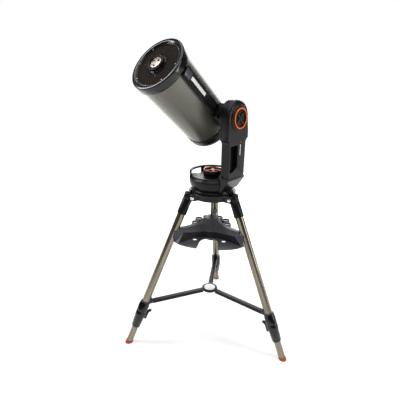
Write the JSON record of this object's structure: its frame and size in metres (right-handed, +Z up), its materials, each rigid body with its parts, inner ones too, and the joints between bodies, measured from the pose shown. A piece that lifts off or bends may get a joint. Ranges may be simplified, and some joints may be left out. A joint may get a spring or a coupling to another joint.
{
  "type": "schmidt cassegrain telescope",
  "caption": "Compound reflector telescope on a motorised single-arm alt-azimuth mount, standing on a steel tripod with accessory tray.",
  "frame": {"origin": "centre of the footprint box, on the floor under the feet", "axes": "+Z up, +X from the azimuth axis towards the fork arm, -Y the way the tube looks at rest"},
  "size_m": [0.7376, 0.8184, 1.4393],
  "materials": {
    "leg_steel": "drawn stainless tube, warm grey, satin",
    "black_plastic": "moulded ABS, fine grain, satin",
    "black_paint": "powder coated die casting, satin",
    "tray_plastic": "glass filled nylon, slate grey, matte",
    "foot_rubber": "moulded rubber, orange",
    "orange_plastic": "moulded orange trim, satin gloss",
    "bright_steel": "turned and plated steel",
    "bronze": "cut worm wheel",
    "corrector_glass": "coated clear corrector plate",
    "mirror_coat": "aluminised glass",
    "tube_paint": "warm grey metallic lacquer on aluminium"
  },
  "bodies": {
    "tripod": {"leg_tube_1": "leg_steel", "leg_clamp_1": "black_plastic", "leg_sleeve_1": "black_plastic", "leg_pivot_bolt_1": "bright_steel", "spreader_strut_1": "black_paint", "leg_tube_2": "leg_steel", "leg_clamp_2": "black_plastic", "leg_sleeve_2": "black_plastic", "leg_pivot_bolt_2": "bright_steel", "spreader_strut_2": "black_paint", "leg_tube_3": "leg_steel", "leg_clamp_3": "black_plastic", "leg_sleeve_3": "black_plastic", "leg_pivot_bolt_3": "bright_steel", "spreader_strut_3": "black_paint", "spreader_hub": "black_plastic", "tripod_head": "black_paint", "centre_rod": "bright_steel", "accessory_tray": "tray_plastic", "base_flange": "black_paint", "azimuth_wheel": "bronze"},
    "azimuth_turret": {"base_housing": "black_plastic", "carry_handle": "black_plastic", "fork_arm": "black_paint", "arm_cover": "black_plastic", "status_light": "orange_plastic", "azimuth_worm_motor": "bright_steel", "battery_pack": "black_plastic", "altitude_worm_motor": "bright_steel"},
    "tube_assembly": {"altitude_shaft": "bright_steel", "altitude_wheel": "bronze", "saddle": "black_paint", "dovetail_rail": "black_paint", "optical_tube": "tube_paint", "front_bezel": "black_plastic", "corrector_plate": "corrector_glass", "secondary_housing": "black_plastic", "secondary_cover": "bright_steel", "secondary_mirror": "mirror_coat", "baffle_tube": "black_paint", "rear_cell": "black_plastic", "visual_back": "bright_steel"},
    "azimuth_clutch": {"azimuth_knob": "black_plastic"},
    "altitude_clutch": {"altitude_knob": "black_plastic"},
    "focuser": {"focus_knob": "black_plastic"},
    "focus_mirror": {"primary_mirror": "mirror_coat", "mirror_carrier": "black_paint"},
    "diagonal": {"star_diagonal": "black_plastic", "eyepiece": "black_plastic"},
    "saddle_clamp": {"saddle_knob": "black_plastic"},
    "tray_nut": {"tray_knob": "black_plastic"},
    "leg_extension_1": {"leg_inner_tube_1": "leg_steel", "foot_1": "foot_rubber"},
    "lock_lever_1": {"leg_lever_1": "black_plastic"},
    "leg_extension_2": {"leg_inner_tube_2": "leg_steel", "foot_2": "foot_rubber"},
    "lock_lever_2": {"leg_lever_2": "black_plastic"},
    "leg_extension_3": {"leg_inner_tube_3": "leg_steel", "foot_3": "foot_rubber"},
    "lock_lever_3": {"leg_lever_3": "black_plastic"}
  },
  "joints": [
    {"name": "azimuth_turn", "type": "hinge", "parent": "tripod", "child": "azimuth_turret", "pos_m": [-0.10092, 0.01378, 0.81], "axis": [0, 0, 1], "continuous": true},
    {"name": "altitude_tilt", "type": "hinge", "parent": "azimuth_turret", "child": "tube_assembly", "pos_m": [-0.00392, 0.01378, 1.131], "axis": [-1, 0, 0], "range_deg": [-39, 50.5]},
    {"name": "azimuth_clutch_turn", "type": "hinge", "parent": "azimuth_turret", "child": "azimuth_clutch", "pos_m": [-0.10092, 0.01378, 0.87], "axis": [0, 0, 1], "range_deg": [-180, 0]},
    {"name": "altitude_clutch_turn", "type": "hinge", "parent": "azimuth_turret", "child": "altitude_clutch", "pos_m": [0.04108, 0.01378, 1.131], "axis": [1, 0, 0], "range_deg": [-180, 0]},
    {"name": "focus_turn", "type": "hinge", "parent": "tube_assembly", "child": "focuser", "pos_m": [-0.14392, 0.15503, 1.09868], "axis": [0, -0.776, 0.6307], "range_deg": [-3600, 5400]},
    {"name": "mirror_shift", "type": "slide", "parent": "tube_assembly", "child": "focus_mirror", "axis": [0, -0.776, 0.6307], "range_m": [-0.01, 0.015]},
    {"name": "diagonal_turn", "type": "hinge", "parent": "tube_assembly", "child": "diagonal", "pos_m": [-0.18992, 0.13019, 1.0364], "axis": [0, -0.776, 0.6307], "range_deg": [-90, 90]},
    {"name": "saddle_clamp_turn", "type": "hinge", "parent": "tube_assembly", "child": "saddle_clamp", "pos_m": [-0.05092, 0.00703, 1.06561], "axis": [0, -0.6307, -0.776], "range_deg": [0, 1080]},
    {"name": "tray_nut_turn", "type": "hinge", "parent": "tripod", "child": "tray_nut", "pos_m": [-0.10092, 0.01378, 0.531], "axis": [0, 0, 1], "continuous": true},
    {"name": "leg_slide_1", "type": "slide", "parent": "tripod", "child": "leg_extension_1", "axis": [0.3941, 0.0241, -0.9188], "range_m": [-0.07, 0.2]},
    {"name": "lock_lever_turn_1", "type": "hinge", "parent": "tripod", "child": "lock_lever_1", "pos_m": [0.25657, 0.03565, 0.13468], "axis": [0.061, -0.9981, 0], "range_deg": [0, 60]},
    {"name": "leg_slide_2", "type": "slide", "parent": "tripod", "child": "leg_extension_2", "axis": [-0.2179, 0.3292, -0.9188], "range_m": [-0.07, 0.2]},
    {"name": "lock_lever_turn_2", "type": "hinge", "parent": "tripod", "child": "lock_lever_2", "pos_m": [-0.29861, 0.31245, 0.13468], "axis": [0.8339, 0.5519, 0], "range_deg": [0, 60]},
    {"name": "leg_slide_3", "type": "slide", "parent": "tripod", "child": "leg_extension_3", "axis": [-0.1762, -0.3533, -0.9188], "range_m": [-0.07, 0.2]},
    {"name": "lock_lever_turn_3", "type": "hinge", "parent": "tripod", "child": "lock_lever_3", "pos_m": [-0.26073, -0.30675, 0.13468], "axis": [-0.8949, 0.4462, 0], "range_deg": [0, 60]}
  ],
  "couplings": [
    {"joint": "focus_turn", "follows": "mirror_shift", "rad_per_m": 6283.2}
  ]
}
